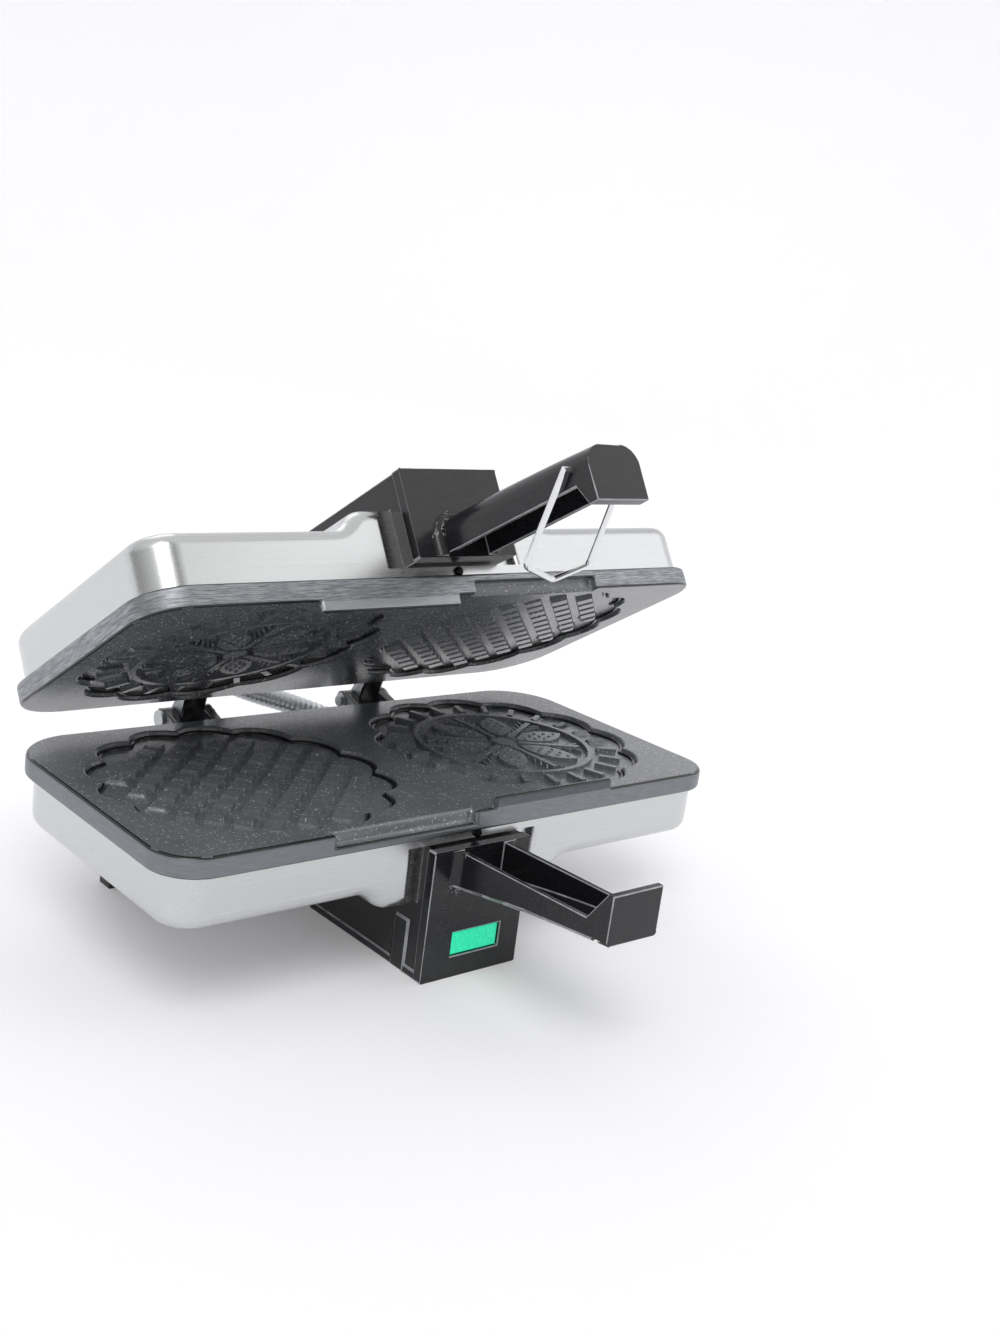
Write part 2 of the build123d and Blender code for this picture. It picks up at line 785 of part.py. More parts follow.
with BuildPart() as signal_lamp:
    holder_front = lower_face_back + lens_flange_thickness
    with BuildSketch(front_view(lower_half, holder_front)):
        with Locations(lens_centre):
            Rectangle(window_width, window_height)
    extrude(amount=-lamp_holder_thickness)
    lamp_y = holder_front + lamp_holder_thickness + lamp_radius - seat_gap
    with BuildSketch(side_view(lower_half, window_offset)):
        with Locations((lamp_y, window_level)):
            Circle(lamp_radius)
    extrude(amount=lamp_length / 2, both=True)
save(signal_lamp, "signal_lamp")


# ---- Hinge pins --------------------------------------------------------------
for side, name in ((-1, "left_hinge_pin"), (1, "right_hinge_pin")):
    # Head on the outer side, a tail for the clip on the inner side.
    outer_end = side * (hinge_centre + hinge_span / 2)
    outward = Plane(origin=(outer_end, hinge_row_y, hinge_row_z), x_dir=(0, 1, 0), z_dir=(side, 0, 0))
    with BuildPart() as hinge_pin:
        with BuildSketch(outward):
            Circle(pin_head_radius)
        extrude(amount=pin_head_height)
        with BuildSketch(outward):
            Circle(pin_radius)
        extrude(amount=-hinge_span - pin_tail)
    save(hinge_pin, name)

with BuildPart() as hinge_pin_clips:
    for side in (-1, 1):
        inner_end = side * (hinge_centre - hinge_span / 2)
        inward = Plane(origin=(inner_end, hinge_row_y, hinge_row_z), x_dir=(0, 1, 0), z_dir=(-side, 0, 0))
        with BuildSketch(inward):
            RegularPolygon(radius=pin_clip_radius, side_count=boss_sides)
            Circle(pin_radius, mode=Mode.SUBTRACT)
        extrude(amount=pin_clip_thickness)
save(hinge_pin_clips, "hinge_pin_clips")


# ---- Wire bail ---------------------------------------------------------------
# One piece of wire bent in a plane: tails in the arm's holes, two legs and a V.
lean = radians(bail_lean)
bail_plane = Plane(
    origin=upper_half.from_local_coords(Vector(0, bail_pivot_y, bail_pivot_z)),
    x_dir=(1, 0, 0),
    z_dir=(0, -cos(lean), -sin(lean)),
)
tail_end = arm_half - arm_wall - bail_tail
with BuildPart() as wire_bail:
    with BuildLine(bail_plane) as bail_wire:
        Line((-tail_end, 0), (-bail_shoulder_half, 0))
        FilletPolyline(
            (-bail_shoulder_half, 0),
            (-bail_half, -bail_leg),
            (0, -bail_leg - bail_drop),
            (bail_half, -bail_leg),
            (bail_shoulder_half, 0),
            radius=bail_corner_round,
        )
        Line((bail_shoulder_half, 0), (tail_end, 0))
    bail_path = bail_wire.wires()[0]
    with BuildSketch(Plane(origin=bail_path @ 0, z_dir=bail_path % 0)):
        Circle(wire_radius)
    sweep(path=bail_path, transition=Transition.RIGHT)
save(wire_bail, "wire_bail")


# ---- Heating, the same in both halves ------------------------------------------
element_level = back_level + element_half


def heating_element(half, name):
    """Sheathed rod bent round both moulds, its two cold ends turned up beside each other."""
    rise = element_level + element_end_rise
    route = [
        (-element_gap_half, element_rear, rise),
        (-element_gap_half, element_rear, element_level),
        (-element_half_x, element_rear, element_level),
        (-element_half_x, element_front, element_level),
        (element_half_x, element_front, element_level),
        (element_half_x, element_rear, element_level),
        (element_gap_half, element_rear, element_level),
        (element_gap_half, element_rear, rise),
    ]
    points = [half.from_local_coords(Vector(*point)) for point in route]
    bends = [element_end_bend] + 4 * [element_bend] + [element_end_bend]
    with BuildPart() as element:
        with BuildLine() as rod:
            FilletPolyline(*points, radius=bends)
        with BuildSketch(Plane(origin=rod.line @ 0, x_dir=half.x_dir, z_dir=rod.line % 0)):
            Rectangle(2 * element_half, 2 * element_half)
        sweep(path=rod.line)
        for x in (-element_gap_half, element_gap_half):
            with BuildSketch(level_at(half, x, element_rear, rise)):
                Circle(element_pin_radius)
            extrude(amount=element_pin_length)
    save(element, name)


def element_clamps(half, name):
    """Sheet saddles over the front run of the rod, with a foot on the casting at each side."""
    saddle = element_half + seat_gap
    top = back_level + 2 * element_half + seat_gap
    with BuildPart() as clamps:
        for x in clamp_stations:
            with BuildSketch(side_view(half, x)):
                with Locations((element_front, (back_level + top + clamp_sheet) / 2)):
                    Rectangle(2 * (saddle + clamp_sheet), top + clamp_sheet - back_level)
                with Locations((element_front, back_level + clamp_sheet / 2)):
                    Rectangle(2 * (saddle + clamp_sheet + clamp_foot), clamp_sheet)
                with Locations((element_front, (back_level + top) / 2)):
                    Rectangle(2 * saddle, top - back_level, mode=Mode.SUBTRACT)
            extrude(amount=clamp_width / 2, both=True)
    save(clamps, name)


for half, prefix in ((lower_half, "lower"), (upper_half, "upper")):
    heating_element(half, f"{prefix}_heating_element")
    element_clamps(half, f"{prefix}_element_clamps")


# ---- Controls on the lower half ------------------------------------------------
with BuildPart() as thermostat:
    with BuildSketch(level_at(lower_half, 0, thermostat_y, back_level)):
        Circle(thermostat_flange)
    extrude(amount=thermostat_flange_thickness)
    with BuildSketch(level_at(lower_half, 0, thermostat_y, back_level)):
        Circle(thermostat_radius)
    extrude(amount=thermostat_height)
    with BuildSketch(level_at(lower_half, 0, thermostat_y, back_level + thermostat_height)):
        with Locations((-blade_spacing / 2, 0), (blade_spacing / 2, 0)):
            Rectangle(blade_thickness, blade_width)
    extrude(amount=blade_height)
save(thermostat, "thermostat")

with BuildPart() as thermal_fuse:
    # Cartridge held by a clip that is screwed to the casting.
    fuse_level = back_level + fuse_clip_wall + fuse_radius
    with BuildSketch(side_view(lower_half, fuse_x)):
        with Locations((thermostat_y, fuse_level)):
            Circle(fuse_radius)
    extrude(amount=fuse_length / 2, both=True)
    with BuildSketch(side_view(lower_half, fuse_x)):
        with Locations((thermostat_y, fuse_level)):
            Rectangle(2 * (fuse_radius + fuse_clip_wall), 2 * (fuse_radius + fuse_clip_wall))
        with Locations((thermostat_y + fuse_clip_foot / 2, back_level + fuse_clip_wall / 2)):
            Rectangle(2 * fuse_radius + fuse_clip_foot, fuse_clip_wall)
    extrude(amount=fuse_clip_width / 2, both=True)
save(thermal_fuse, "thermal_fuse")


# ---- Rear stand --------------------------------------------------------------
with BuildPart() as rear_stand:
    # Flange under the shell, upright wall and a foot turned inwards, ribbed at both ends.
    with BuildSketch(side_view(lower_half, 0)):
        Polygon(
            (stand_front, shell_height),
            (stand_rear, shell_height),
            (stand_rear, parting_height),
            (stand_rear - stand_foot, parting_height),
            (stand_rear - stand_foot, parting_height - stand_wall),
            (stand_rear - stand_wall, parting_height - stand_wall),
            (stand_rear - stand_wall, shell_height + stand_wall),
            (stand_front, shell_height + stand_wall),
            align=None,
        )
    extrude(amount=stand_half, both=True)
    for x in stand_rib_stations:
        with BuildSketch(side_view(lower_half, x)):
            Polygon(
                (stand_rear - stand_wall, shell_height + stand_wall),
                (stand_rear - stand_wall - stand_rib_reach, shell_height + stand_wall),
                (stand_rear - stand_wall, shell_height + stand_wall + 1.5 * stand_rib_reach),
                align=None,
            )
        extrude(amount=stand_wall / 2, both=True)
    # Room for the raised middle of the shell.
    with BuildSketch(level_at(lower_half, 0, (stand_front + stand_rear - stand_wall) / 2, shell_height)):
        Rectangle(2 * (bulge_foot + stand_wall), stand_rear - stand_wall - stand_front)
    extrude(amount=stand_wall, mode=Mode.SUBTRACT)
    with BuildSketch(level_at(lower_half, 0, stand_screw_y, shell_height)):
        with Locations((-stand_screw_x, 0), (stand_screw_x, 0)):
            Circle(screw_hole)
    extrude(amount=stand_wall, mode=Mode.SUBTRACT)
save(rear_stand, "rear_stand")

with BuildPart() as rear_stand_screws:
    for x in (-stand_screw_x, stand_screw_x):
        seat = level_at(lower_half, x, stand_screw_y, shell_height + stand_wall)
        add(cheese_head_screw(seat, stand_wall + shell_wall + screw_bite))
save(rear_stand_screws, "rear_stand_screws")


# ---- Bushes ------------------------------------------------------------------
def threaded_bush(half, x, bore, collar_length):
    """Bush in a shell's rear wall: lock nut inside, neck in the hole and a six-sided collar outside."""
    with BuildPart() as bush:
        with BuildSketch(front_view(half, shell_rear)):
            with Locations((x, bush_level)):
                RegularPolygon(radius=bush_collar_radius, side_count=6)
        extrude(amount=-collar_length)
        with BuildSketch(front_view(half, shell_rear - shell_wall)):
            with Locations((x, bush_level)):
                RegularPolygon(radius=bush_nut_radius, side_count=6)
        extrude(amount=bush_nut_length)
        with BuildSketch(front_view(half, shell_rear)):
            with Locations((x, bush_level)):
                Circle(bush_neck_radius)
        extrude(amount=shell_wall)
        with BuildSketch(front_view(half, shell_rear + collar_length)):
            with Locations((x, bush_level)):
                Circle(bore)
        extrude(amount=plate_depth, mode=Mode.SUBTRACT)
    return bush.part


lead_socket = lead_radius + lead_clearance
socket_mouth = shell_rear + bush_collar_length
for half, x, name in (
    (lower_half, -lead_lower_x, "lower_lead_bush"),
    (upper_half, lead_upper_x, "upper_lead_bush"),
):
    with BuildPart() as lead_bush:
        add(threaded_bush(half, x, bush_bore, bush_collar_length))
        # Socket for the end of the lead.
        with BuildSketch(front_view(half, socket_mouth)):
            with Locations((x, bush_level)):
                Circle(lead_socket)
        extrude(amount=lead_socket_depth, mode=Mode.SUBTRACT)
    save(lead_bush, name)

with BuildPart() as mains_inlet_bush:
    add(threaded_bush(lower_half, inlet_x, inlet_bore, inlet_collar_length))
save(mains_inlet_bush, "mains_inlet_bush")


# ---- Armoured lead -------------------------------------------------------------
# Out of the lower shell, across behind the hinges in one plane, and into the lid.
socket_floor = socket_mouth - lead_socket_depth + lead_clearance
lead_start = lower_half.from_local_coords(Vector(-lead_lower_x, socket_floor, bush_level))
lead_end = upper_half.from_local_coords(Vector(lead_upper_x, socket_floor, bush_level))
cross_y = plate_front + lead_plane_y
lower_corner = Vector(lead_lower_x, cross_y, lead_start.Z)
upper_corner = lead_end + upper_half.y_dir * ((cross_y - lead_end.Y) / upper_half.y_dir.Y)
with BuildLine() as lead_route:
    FilletPolyline(
        lead_start,
        lower_corner,
        upper_corner,
        lead_end,
        radius=[lead_lower_bend, lead_upper_bend],
    )
lead_path = lead_route.wires()[0]
lead_steady = Vector(sin(tilt), 0, 1)


def across_lead(distance):
    """Plane square to the lead at a distance along it."""
    share = distance / lead_path.length
    return Plane(origin=lead_path @ share, x_dir=lead_steady, z_dir=lead_path % share)


ribbed_length = lead_path.length - 2 * lead_plain_end
rib_count = int(ribbed_length / lead_rib_pitch)
rib_pitch = ribbed_length / rib_count
rib_shares = (0.1, 0.3, 0.7, 0.9)
rib_radii = (lead_valley, lead_radius, lead_radius, lead_valley)
with BuildPart() as armoured_lead:
    with BuildSketch(across_lead(0)):
        Circle(lead_valley)
    for rib in range(rib_count):
        for share, radius in zip(rib_shares, rib_radii):
            with BuildSketch(across_lead(lead_plain_end + (rib + share) * rib_pitch)):
                Circle(radius)
    with BuildSketch(across_lead(lead_path.length)):
        Circle(lead_valley)
    loft(ruled=True)
    with BuildSketch(across_lead(0)):
        RegularPolygon(radius=lead_bore, side_count=lead_bore_sides)
    sweep(path=lead_path, mode=Mode.SUBTRACT)
save(armoured_lead, "armoured_lead")
print("lead length", round(lead_path.length, 1), "bend radii", lead_lower_bend, lead_upper_bend)
print("lead volume", round(armoured_lead.part.volume), "ribs", rib_count)
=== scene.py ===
import math

import bmesh
import bpy
from mathutils import Matrix, Vector


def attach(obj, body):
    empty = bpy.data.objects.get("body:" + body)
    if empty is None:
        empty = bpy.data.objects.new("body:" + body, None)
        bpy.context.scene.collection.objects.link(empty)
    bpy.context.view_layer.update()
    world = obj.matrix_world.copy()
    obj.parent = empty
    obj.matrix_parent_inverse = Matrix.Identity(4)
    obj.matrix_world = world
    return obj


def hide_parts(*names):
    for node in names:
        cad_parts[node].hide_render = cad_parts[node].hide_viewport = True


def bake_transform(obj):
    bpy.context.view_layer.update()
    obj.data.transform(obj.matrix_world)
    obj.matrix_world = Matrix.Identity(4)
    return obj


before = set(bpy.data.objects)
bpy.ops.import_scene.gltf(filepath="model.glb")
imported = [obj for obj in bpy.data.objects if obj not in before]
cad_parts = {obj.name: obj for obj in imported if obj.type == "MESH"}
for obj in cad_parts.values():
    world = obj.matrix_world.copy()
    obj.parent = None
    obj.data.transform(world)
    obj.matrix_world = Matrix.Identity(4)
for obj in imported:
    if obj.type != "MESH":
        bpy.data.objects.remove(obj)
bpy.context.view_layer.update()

# ---------------------------------------------------------------- Viewpoint
# The maker seen from above its front left corner, as it is pictured. The camera looks down a
# little and is rolled, and its lens has no shift, so that it serves every other view too.
image_long_side = 1333
focal_in_pixels = 1491.35
camera_place = (-0.3818, -0.4562, 0.27257)
azimuth, elevation, roll = (math.radians(a) for a in (-42.639, 14.311, 7.597))

back = Vector((math.sin(azimuth) * math.cos(elevation),
               -math.cos(azimuth) * math.cos(elevation),
               math.sin(elevation)))
level = Vector((math.cos(azimuth), math.sin(azimuth), 0))
upright = back.cross(level)
turned = math.cos(roll) * level + math.sin(roll) * upright
standing = -math.sin(roll) * level + math.cos(roll) * upright

camera = bpy.data.objects.new("camera", bpy.data.cameras.new("camera"))
bpy.context.scene.collection.objects.link(camera)
camera.data.sensor_width = 36
camera.data.lens = focal_in_pixels * camera.data.sensor_width / image_long_side
camera.data.clip_start = 0.01
camera.matrix_world = (Matrix.Translation(camera_place)
                       @ Matrix((turned, standing, back)).transposed().to_4x4())
bpy.context.scene.camera = camera


# ---------------------------------------------------------------- Armoured lead
# Spiral conduit of bright galvanised steel strip that carries the wires from the base to the
# lid behind the hinge. Its ends are held in the two bushes.
lead_route = ((0.043, 0.09135, 0.0533), (0.043, 0.12525, 0.0533),
              (-0.035, 0.12525, 0.0803), (-0.035, 0.1051, 0.0932))
lead_rib_pitch = 0.003
lead_crest, lead_valley = 0.005, 0.0043
lead_sides, rings_per_rib = 20, 6
lead_rib_fullness = 0.6


def linear(hex_colour):
    """sRGB hex to the linear colour that a shader socket takes."""
    parts = [int(hex_colour[i:i + 2], 16) / 255 for i in (1, 3, 5)]
    return tuple(p / 12.92 if p <= 0.04045 else ((p + 0.055) / 1.055) ** 2.4 for p in parts) + (1,)


def node(tree, kind, feeds=None, **settings):
    """Adds a node: feeds gives its sockets a value or another node's output."""
    made = tree.nodes.new("ShaderNode" + kind)
    for setting, value in settings.items():
        setattr(made, setting, value)
    for socket, source in (feeds or {}).items():
        if isinstance(source, bpy.types.NodeSocket):
            tree.links.new(source, made.inputs[socket])
        else:
            made.inputs[socket].default_value = source
    return made


def new_material(name):
    material = bpy.data.materials.new(name)
    material.use_nodes = True
    tree = material.node_tree
    return material, tree, tree.nodes["Principled BSDF"]


def pattern(tree, stretch, turn=0.0):
    """Object coordinates in cycles per metre along each axis, turned about X."""
    where = node(tree, "TexCoord")
    level_out = node(tree, "Mapping", {"Vector": where.outputs["Object"], "Rotation": (turn, 0, 0)})
    return node(tree, "Mapping", {"Vector": level_out.outputs["Vector"], "Scale": stretch}
                ).outputs["Vector"]


def spline_line(name, route):
    """The points along a smooth NURBS curve of order 3 that ends at the route's ends."""
    curve = bpy.data.curves.new(name, "CURVE")
    curve.dimensions = "3D"
    curve.resolution_u = 32
    spline = curve.splines.new("NURBS")
    spline.points.add(len(route) - 1)
    for point, place in zip(spline.points, route):
        point.co = (*place, 1)
    spline.order_u = 3
    spline.use_endpoint_u = True
    holder = bpy.data.objects.new(name, curve)
    bpy.context.scene.collection.objects.link(holder)
    mesh = bpy.data.meshes.new_from_object(holder)
    line = [v.co.copy() for v in mesh.vertices]
    bpy.data.objects.remove(holder)
    bpy.data.curves.remove(curve)
    bpy.data.meshes.remove(mesh)
    return line


def evenly(line, count):
    """The line as count points at equal distances along it, and its length."""
    reach = [0.0]
    for a, b in zip(line, line[1:]):
        reach.append(reach[-1] + (b - a).length)
    points, i = [], 0
    for k in range(count):
        goal = reach[-1] * k / (count - 1)
        while i < len(line) - 2 and reach[i + 1] < goal:
            i += 1
        span = reach[i + 1] - reach[i]
        points.append(line[i].lerp(line[i + 1], (goal - reach[i]) / span))
    return points, reach[-1]


lead_line = spline_line("lead_line", lead_route)
lead_length = evenly(lead_line, 2)[1]
lead_ribs = round(lead_length / lead_rib_pitch)
lead_points, lead_length = evenly(lead_line, lead_ribs * rings_per_rib + 1)
verts, faces = [], []
side = Vector((0, 0, 1))
for k, point in enumerate(lead_points):
    ahead = (lead_points[min(k + 1, len(lead_points) - 1)]
             - lead_points[max(k - 1, 0)]).normalized()
    side = (side - side.dot(ahead) * ahead).normalized()
    other = ahead.cross(side)
    swell = math.sin(math.pi * (k % rings_per_rib) / rings_per_rib) ** lead_rib_fullness
    radius = lead_valley + (lead_crest - lead_valley) * swell
    for j in range(lead_sides):
        angle = 2 * math.pi * j / lead_sides
        verts.append(point + radius * (math.cos(angle) * side + math.sin(angle) * other))
    if k:
        row, last = k * lead_sides, (k - 1) * lead_sides
        faces += [(last + j, last + (j + 1) % lead_sides, row + (j + 1) % lead_sides, row + j)
                  for j in range(lead_sides)]
faces += [tuple(reversed(range(lead_sides))),
          tuple(range((len(lead_points) - 1) * lead_sides, len(lead_points) * lead_sides))]
lead_mesh = bpy.data.meshes.new("armoured_lead_conduit")
lead_mesh.from_pydata([tuple(v) for v in verts], [], faces)
lead_mesh.update()
lead_conduit = bpy.data.objects.new("armoured_lead_conduit", lead_mesh)
bpy.context.scene.collection.objects.link(lead_conduit)
for face in lead_mesh.polygons:
    face.use_smooth = True

# Galvanised steel strip: bright, with a faint mottle from the zinc about 4 mm across.
galvanised, tree, shader = new_material("galvanised_steel_strip")
shader.inputs["Base Color"].default_value = linear("#c3c6c9")
shader.inputs["Metallic"].default_value = 1
mottle = node(tree, "TexNoise", {"Vector": pattern(tree, (1, 1, 1)), "Scale": 250, "Detail": 3})
dull = node(tree, "MapRange", {"Value": mottle.outputs[0], "To Min": 0.22, "To Max": 0.38})
tree.links.new(dull.outputs[0], shader.inputs["Roughness"])
lead_mesh.materials.append(galvanised)

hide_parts("armoured_lead")
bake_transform(lead_conduit)


# ---------------------------------------------------------------- Grid plates
# Two cast aluminium baking plates. The faces are coated non-stick, dark with pale flecks, and
# the bands round their edges are milled back to bare metal. They face each other on the hinge.
lid_tilt = math.radians(32.6)
face_level = 0.0002
plate_half_width, plate_depth = 0.140, 0.138
mould_x, mould_y = 0.069, 0.069
mould_floor, mould_lobe, mould_valley = 0.0028, 0.0620, 0.0568
# Scallops round the flower mould, at -x, and round the lattice mould, at +x.
scallops = {-1: 12, 1: 14}
mouth_radius, rim_radius = 0.0011, 0.0014
band_depth, band_back = 0.0012, 0.009
corner_reach, corner_turn, mould_margin = 0.027, 0.02, 0.002
shortest_rim_edge = 0.0012
lip_foot = -0.0001
# How much of a face's normal may lie along z where the face is the band, and where a rim.
band_lean, rim_lean = 0.3, 0.98

# Each half has its own frame, from the front middle of its baking face: x across, y back
# along the plate, z out through its cover. New pieces are made in it and then put in place.
lower_frame = (Matrix.Translation((0, -0.04475, 0.0703))
               @ Matrix(((-1, 0, 0), (0, 1, 0), (0, 0, -1))).to_4x4())
upper_frame = (Matrix.Translation((0, -0.01874, 0.15223))
               @ Matrix.Rotation(-lid_tilt, 4, "X"))
halves = (("lower", "base", lower_frame, 0.0), ("upper", "lid", upper_frame, lid_tilt))


def only(piece):
    """Selects one object alone and makes it active."""
    if bpy.context.mode != "OBJECT":
        bpy.ops.object.mode_set(mode="OBJECT")
    bpy.ops.object.select_all(action="DESELECT")
    if piece is not None:
        piece.select_set(True)
        bpy.context.view_layer.objects.active = piece


def welded_copy(node_name, piece_name):
    """A CAD node's shape as one welded mesh that can be given rounded edges."""
    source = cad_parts[node_name]
    piece = bpy.data.objects.new(piece_name, source.data.copy())
    bpy.context.scene.collection.objects.link(piece)
    piece.data.materials.clear()
    only(piece)
    bpy.ops.mesh.customdata_custom_splitnormals_clear()
    bpy.ops.object.mode_set(mode="EDIT")
    bpy.ops.mesh.select_all(action="SELECT")
    bpy.ops.mesh.remove_doubles(threshold=1e-6)
    bpy.ops.mesh.normals_make_consistent(inside=False)
    bpy.ops.mesh.dissolve_limited(angle_limit=math.radians(0.5))
    bpy.ops.object.mode_set(mode="OBJECT")
    return piece


def round_edges(piece, width, segments, wanted, least=0.0):
    """Bevels the sharp edges that wanted() picks and that are longer than least, then merges
    the faces that the bevel left with no area."""
    only(piece)
    bpy.ops.object.mode_set(mode="EDIT")
    bpy.ops.mesh.select_mode(type="EDGE")
    bpy.ops.mesh.select_all(action="DESELECT")
    edges = bmesh.from_edit_mesh(piece.data)
    for edge in edges.edges:
        sharp = len(edge.link_faces) == 2 and edge.calc_face_angle() > math.radians(35)
        if sharp and edge.calc_length() > least and wanted(edge):
            edge.select_set(True)
    bmesh.update_edit_mesh(piece.data)
    bpy.ops.mesh.bevel(offset=width, segments=segments, affect="EDGES", clamp_overlap=False)
    bpy.ops.mesh.select_all(action="SELECT")
    least_size = 3e-6
    bpy.ops.mesh.remove_doubles(threshold=least_size)
    bpy.ops.mesh.dissolve_degenerate(threshold=least_size)
    bpy.ops.object.mode_set(mode="OBJECT")


def finish_piece(piece, body, slot, *materials, stands_for=None, smooth=32):
    """Smooths a finished piece and gives it its materials and its body. The slot is not used."""
    only(piece)
    bpy.ops.object.shade_smooth_by_angle(angle=math.radians(smooth))
    level_faces = piece.modifiers.new("level_faces", "WEIGHTED_NORMAL")
    level_faces.keep_sharp, level_faces.weight = True, 90
    bpy.ops.object.modifier_apply(modifier=level_faces.name)
    piece.data.materials.clear()
    for material in materials:
        piece.data.materials.append(material)
    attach(piece, body)
    if stands_for:
        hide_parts(stands_for)


def in_place(piece, half_frame, name):
    """Moves a piece from its half's frame to its place, with its own object at the origin."""
    only(piece)
    bpy.ops.object.transform_apply(location=True, rotation=True, scale=True)
    piece.data.transform(half_frame)
    piece.name = piece.data.name = name
    return piece


def repeated(pattern_piece, places):
    """One piece made of copies of a small one, each set at one of the places."""
    made = []
    for place in places:
        one = bpy.data.objects.new(pattern_piece.name, pattern_piece.data.copy())
        bpy.context.scene.collection.objects.link(one)
        one.data.transform(place)
        made.append(one)
    bpy.data.objects.remove(pattern_piece)
    only(made[0])
    for one in made:
        one.select_set(True)
    bpy.ops.object.join()
    return made[0]


def bead(points, radius, name):
    """A rounded bead round a closed line of points, as a mesh."""
    curve = bpy.data.curves.new(name, "CURVE")
    curve.dimensions = "3D"
    curve.bevel_depth, curve.bevel_resolution = radius, 3
    line = curve.splines.new("POLY")
    line.points.add(len(points) - 1)
    for knot, point in zip(line.points, points):
        knot.co = (*point, 1)
    line.use_cyclic_u = True
    piece = bpy.data.objects.new(name, curve)
    bpy.context.scene.collection.objects.link(piece)
    only(piece)
    bpy.ops.object.convert(target="MESH")
    return bpy.context.view_layer.objects.active


def scallop_line(side, inset, level):
    """Points along the scalloped edge of a mould, drawn in by inset."""
    lobes, steps = scallops[side], 9
    wide = math.pi / lobes
    # Each scallop is an arc through two cusps and its tip.
    cusp = Vector((mould_valley * math.cos(wide), mould_valley * math.sin(wide)))
    bow = ((mould_lobe ** 2 - cusp.length_squared) / (2 * (mould_lobe - cusp.x)))
    arc = mould_lobe - bow
    sweep = math.atan2(cusp.y, cusp.x - bow)
    points = []
    for lobe in range(lobes):
        heading = -math.pi / 2 + (2 * lobe + 1) * wide
        for k in range(steps):
            turn = -sweep + 2 * sweep * k / steps
            x, y = bow + (arc - inset) * math.cos(turn), (arc - inset) * math.sin(turn)
            points.append((side * mould_x + x * math.cos(heading) - y * math.sin(heading),
                           mould_y + x * math.sin(heading) + y * math.cos(heading), level))
    return points


def coated_casting(name, turn, dark, light, sheen, smoothest, roughest):
    """PTFE-coated cast aluminium: dark grey with pale flecks about half a millimetre across,
    drawn at twice that to show, and the soft lumps of a sprayed coat."""
    material, tree, shader = new_material(name)
    shader.inputs["Specular IOR Level"].default_value = sheen
    grain = pattern(tree, (1, 1, 1), turn)
    fleck = node(tree, "TexVoronoi", {"Vector": grain, "Scale": 950})
    spot = node(tree, "MapRange", {"Value": fleck.outputs["Distance"], "From Min": 0.1,
                                   "From Max": 0.36, "To Min": 1, "To Max": 0})
    choice = node(tree, "TexNoise", {"Vector": grain, "Scale": 620, "Detail": 1})
    some = node(tree, "MapRange", {"Value": choice.outputs[0], "From Min": 0.5, "From Max": 0.62})
    both = node(tree, "Math", {0: spot.outputs[0], 1: some.outputs[0]}, operation="MULTIPLY")
    cloud = node(tree, "TexNoise", {"Vector": grain, "Scale": 40, "Detail": 4})
    ground = node(tree, "Mix", {"Factor": cloud.outputs[0], 6: linear(dark),
                                7: linear(light)}, data_type="RGBA")
    colour = node(tree, "Mix", {"Factor": both.outputs[0], 6: ground.outputs[2],
                                7: linear("#d2d4d6")}, data_type="RGBA")
    tree.links.new(colour.outputs[2], shader.inputs["Base Color"])
    wear = node(tree, "MapRange", {"Value": cloud.outputs[0], "To Min": smoothest,
                                   "To Max": roughest})
    tree.links.new(wear.outputs[0], shader.inputs["Roughness"])
    lumps = node(tree, "TexNoise", {"Vector": grain, "Scale": 1300, "Detail": 2})
    bump = node(tree, "Bump", {"Height": lumps.outputs[0], "Strength": 0.1, "Distance": 0.0004})
    tree.links.new(bump.outputs[0], shader.inputs["Normal"])
    return material


def painted_shade_coat(name):
    """The same coat on the rounded rims and mould steps: glossy, and black as painted shade."""
    material, tree, shader = new_material(name)
    blotch = node(tree, "TexNoise", {"Vector": pattern(tree, (1, 1, 1)), "Scale": 300, "Detail": 3})
    tone = node(tree, "Mix", {"Factor": blotch.outputs[0], 6: linear("#131415"),
                              7: linear("#222426")}, data_type="RGBA")
    tree.links.new(tone.outputs[2], shader.inputs["Base Color"])
    sheen = node(tree, "MapRange", {"Value": blotch.outputs[0], "To Min": 0.1, "To Max": 0.2})
    tree.links.new(sheen.outputs[0], shader.inputs["Roughness"])
    return material


def milled_band(name, turn, dark, light, depth):
    """Cast aluminium milled along the edge: grey bare metal with short lines along its length,
    drawn a third of a millimetre apart to show."""
    material, tree, shader = new_material(name)
    shader.inputs["Metallic"].default_value = 1
    lines = node(tree, "TexNoise", {"Vector": pattern(tree, (160, 160, 3000), turn), "Scale": 1,
                                    "Detail": 5, "Roughness": 0.7})
    tone = node(tree, "ValToRGB", {"Fac": lines.outputs[0]})
    tone.color_ramp.elements[0].position, tone.color_ramp.elements[1].position = 0.36, 0.66
    tone.color_ramp.elements[0].color = linear(dark)
    tone.color_ramp.elements[1].color = linear(light)
    tree.links.new(tone.outputs[0], shader.inputs["Base Color"])
    matt = node(tree, "MapRange", {"Value": lines.outputs[0], "To Min": 0.55, "To Max": 0.36})
    tree.links.new(matt.outputs[0], shader.inputs["Roughness"])
    bump = node(tree, "Bump", {"Height": lines.outputs[0], "Strength": depth, "Distance": 0.0003})
    tree.links.new(bump.outputs[0], shader.inputs["Normal"])
    return material


def on_mould_edge(half_frame):
    """Picks the edges round the mouths of the two moulds."""
    to_half = half_frame.inverted()
    slack = 3e-4

    def picked(edge):
        for vert in edge.verts:
            x, y, z = to_half @ vert.co
            reach = math.hypot(abs(x) - mould_x, y - mould_y)
            if (abs(z - face_level) > 2e-5
                    or not mould_valley - slack < reach < mould_lobe + slack):
                return False
        return True
    return picked


